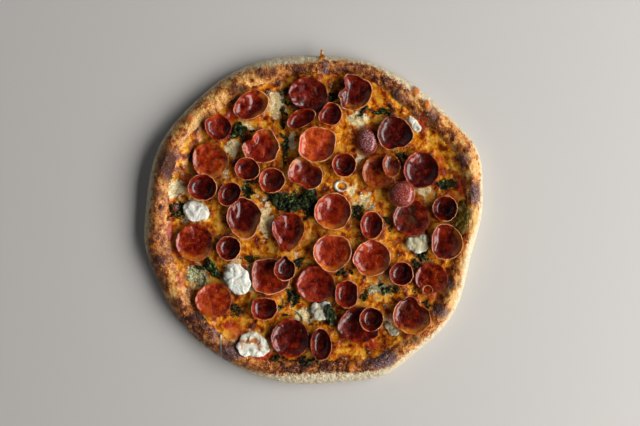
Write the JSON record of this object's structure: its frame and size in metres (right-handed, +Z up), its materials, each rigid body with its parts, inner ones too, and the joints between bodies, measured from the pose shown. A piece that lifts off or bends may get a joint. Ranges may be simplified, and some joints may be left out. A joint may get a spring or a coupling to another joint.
{
  "type": "pepperoni pizza",
  "caption": "Whole uncut hand-stretched pizza with a puffy charred rim, melted cheese, cupped pepperoni slices, fresh cheese lumps and basil leaves.",
  "frame": {"origin": "on the surface the pizza lies on, under the middle of its outline's box", "axes": "+Z up out of the topped side; +Y towards the top edge of the picture, +X towards its right edge"},
  "size_m": [0.3404, 0.335, 0.0261],
  "materials": {
    "crust": "baked dough, matt, browned with dark charred blisters and a pale floury side",
    "melted_cheese": "melted cheese, oily and glossy, orange-yellow with pale and browned patches",
    "pepperoni": "cured sausage, glossy with oil, dark red with a paler rim",
    "fresh_cheese": "fresh white cheese, soft and slightly moist",
    "basil": "baked basil leaf, dark green and slightly shiny"
  },
  "bodies": {
    "root": {"crust": "crust", "melted_cheese": "melted_cheese", "fresh_cheese_1": "fresh_cheese", "fresh_cheese_2": "fresh_cheese", "fresh_cheese_3": "fresh_cheese", "fresh_cheese_4": "fresh_cheese", "fresh_cheese_5": "fresh_cheese", "fresh_cheese_6": "fresh_cheese", "fresh_cheese_7": "fresh_cheese", "basil_1": "basil", "basil_2": "basil", "basil_3": "basil", "basil_4": "basil", "basil_5": "basil", "basil_6": "basil", "pepperoni_01": "pepperoni", "pepperoni_02": "pepperoni", "pepperoni_03": "pepperoni", "pepperoni_04": "pepperoni", "pepperoni_05": "pepperoni", "pepperoni_06": "pepperoni", "pepperoni_07": "pepperoni", "pepperoni_08": "pepperoni", "pepperoni_09": "pepperoni", "pepperoni_10": "pepperoni", "pepperoni_11": "pepperoni", "pepperoni_12": "pepperoni", "pepperoni_13": "pepperoni", "pepperoni_14": "pepperoni", "pepperoni_15": "pepperoni", "pepperoni_16": "pepperoni", "pepperoni_17": "pepperoni", "pepperoni_18": "pepperoni", "pepperoni_19": "pepperoni", "pepperoni_20": "pepperoni", "pepperoni_21": "pepperoni", "pepperoni_22": "pepperoni", "pepperoni_23": "pepperoni", "pepperoni_24": "pepperoni", "pepperoni_25": "pepperoni", "pepperoni_26": "pepperoni", "pepperoni_27": "pepperoni", "pepperoni_28": "pepperoni", "pepperoni_29": "pepperoni", "pepperoni_30": "pepperoni", "pepperoni_31": "pepperoni", "pepperoni_32": "pepperoni", "pepperoni_33": "pepperoni", "pepperoni_34": "pepperoni", "pepperoni_35": "pepperoni", "pepperoni_36": "pepperoni", "pepperoni_37": "pepperoni", "pepperoni_38": "pepperoni", "pepperoni_39": "pepperoni", "pepperoni_40": "pepperoni", "pepperoni_41": "pepperoni", "pepperoni_42": "pepperoni", "pepperoni_43": "pepperoni", "pepperoni_44": "pepperoni", "pepperoni_45": "pepperoni"}
  },
  "joints": []
}
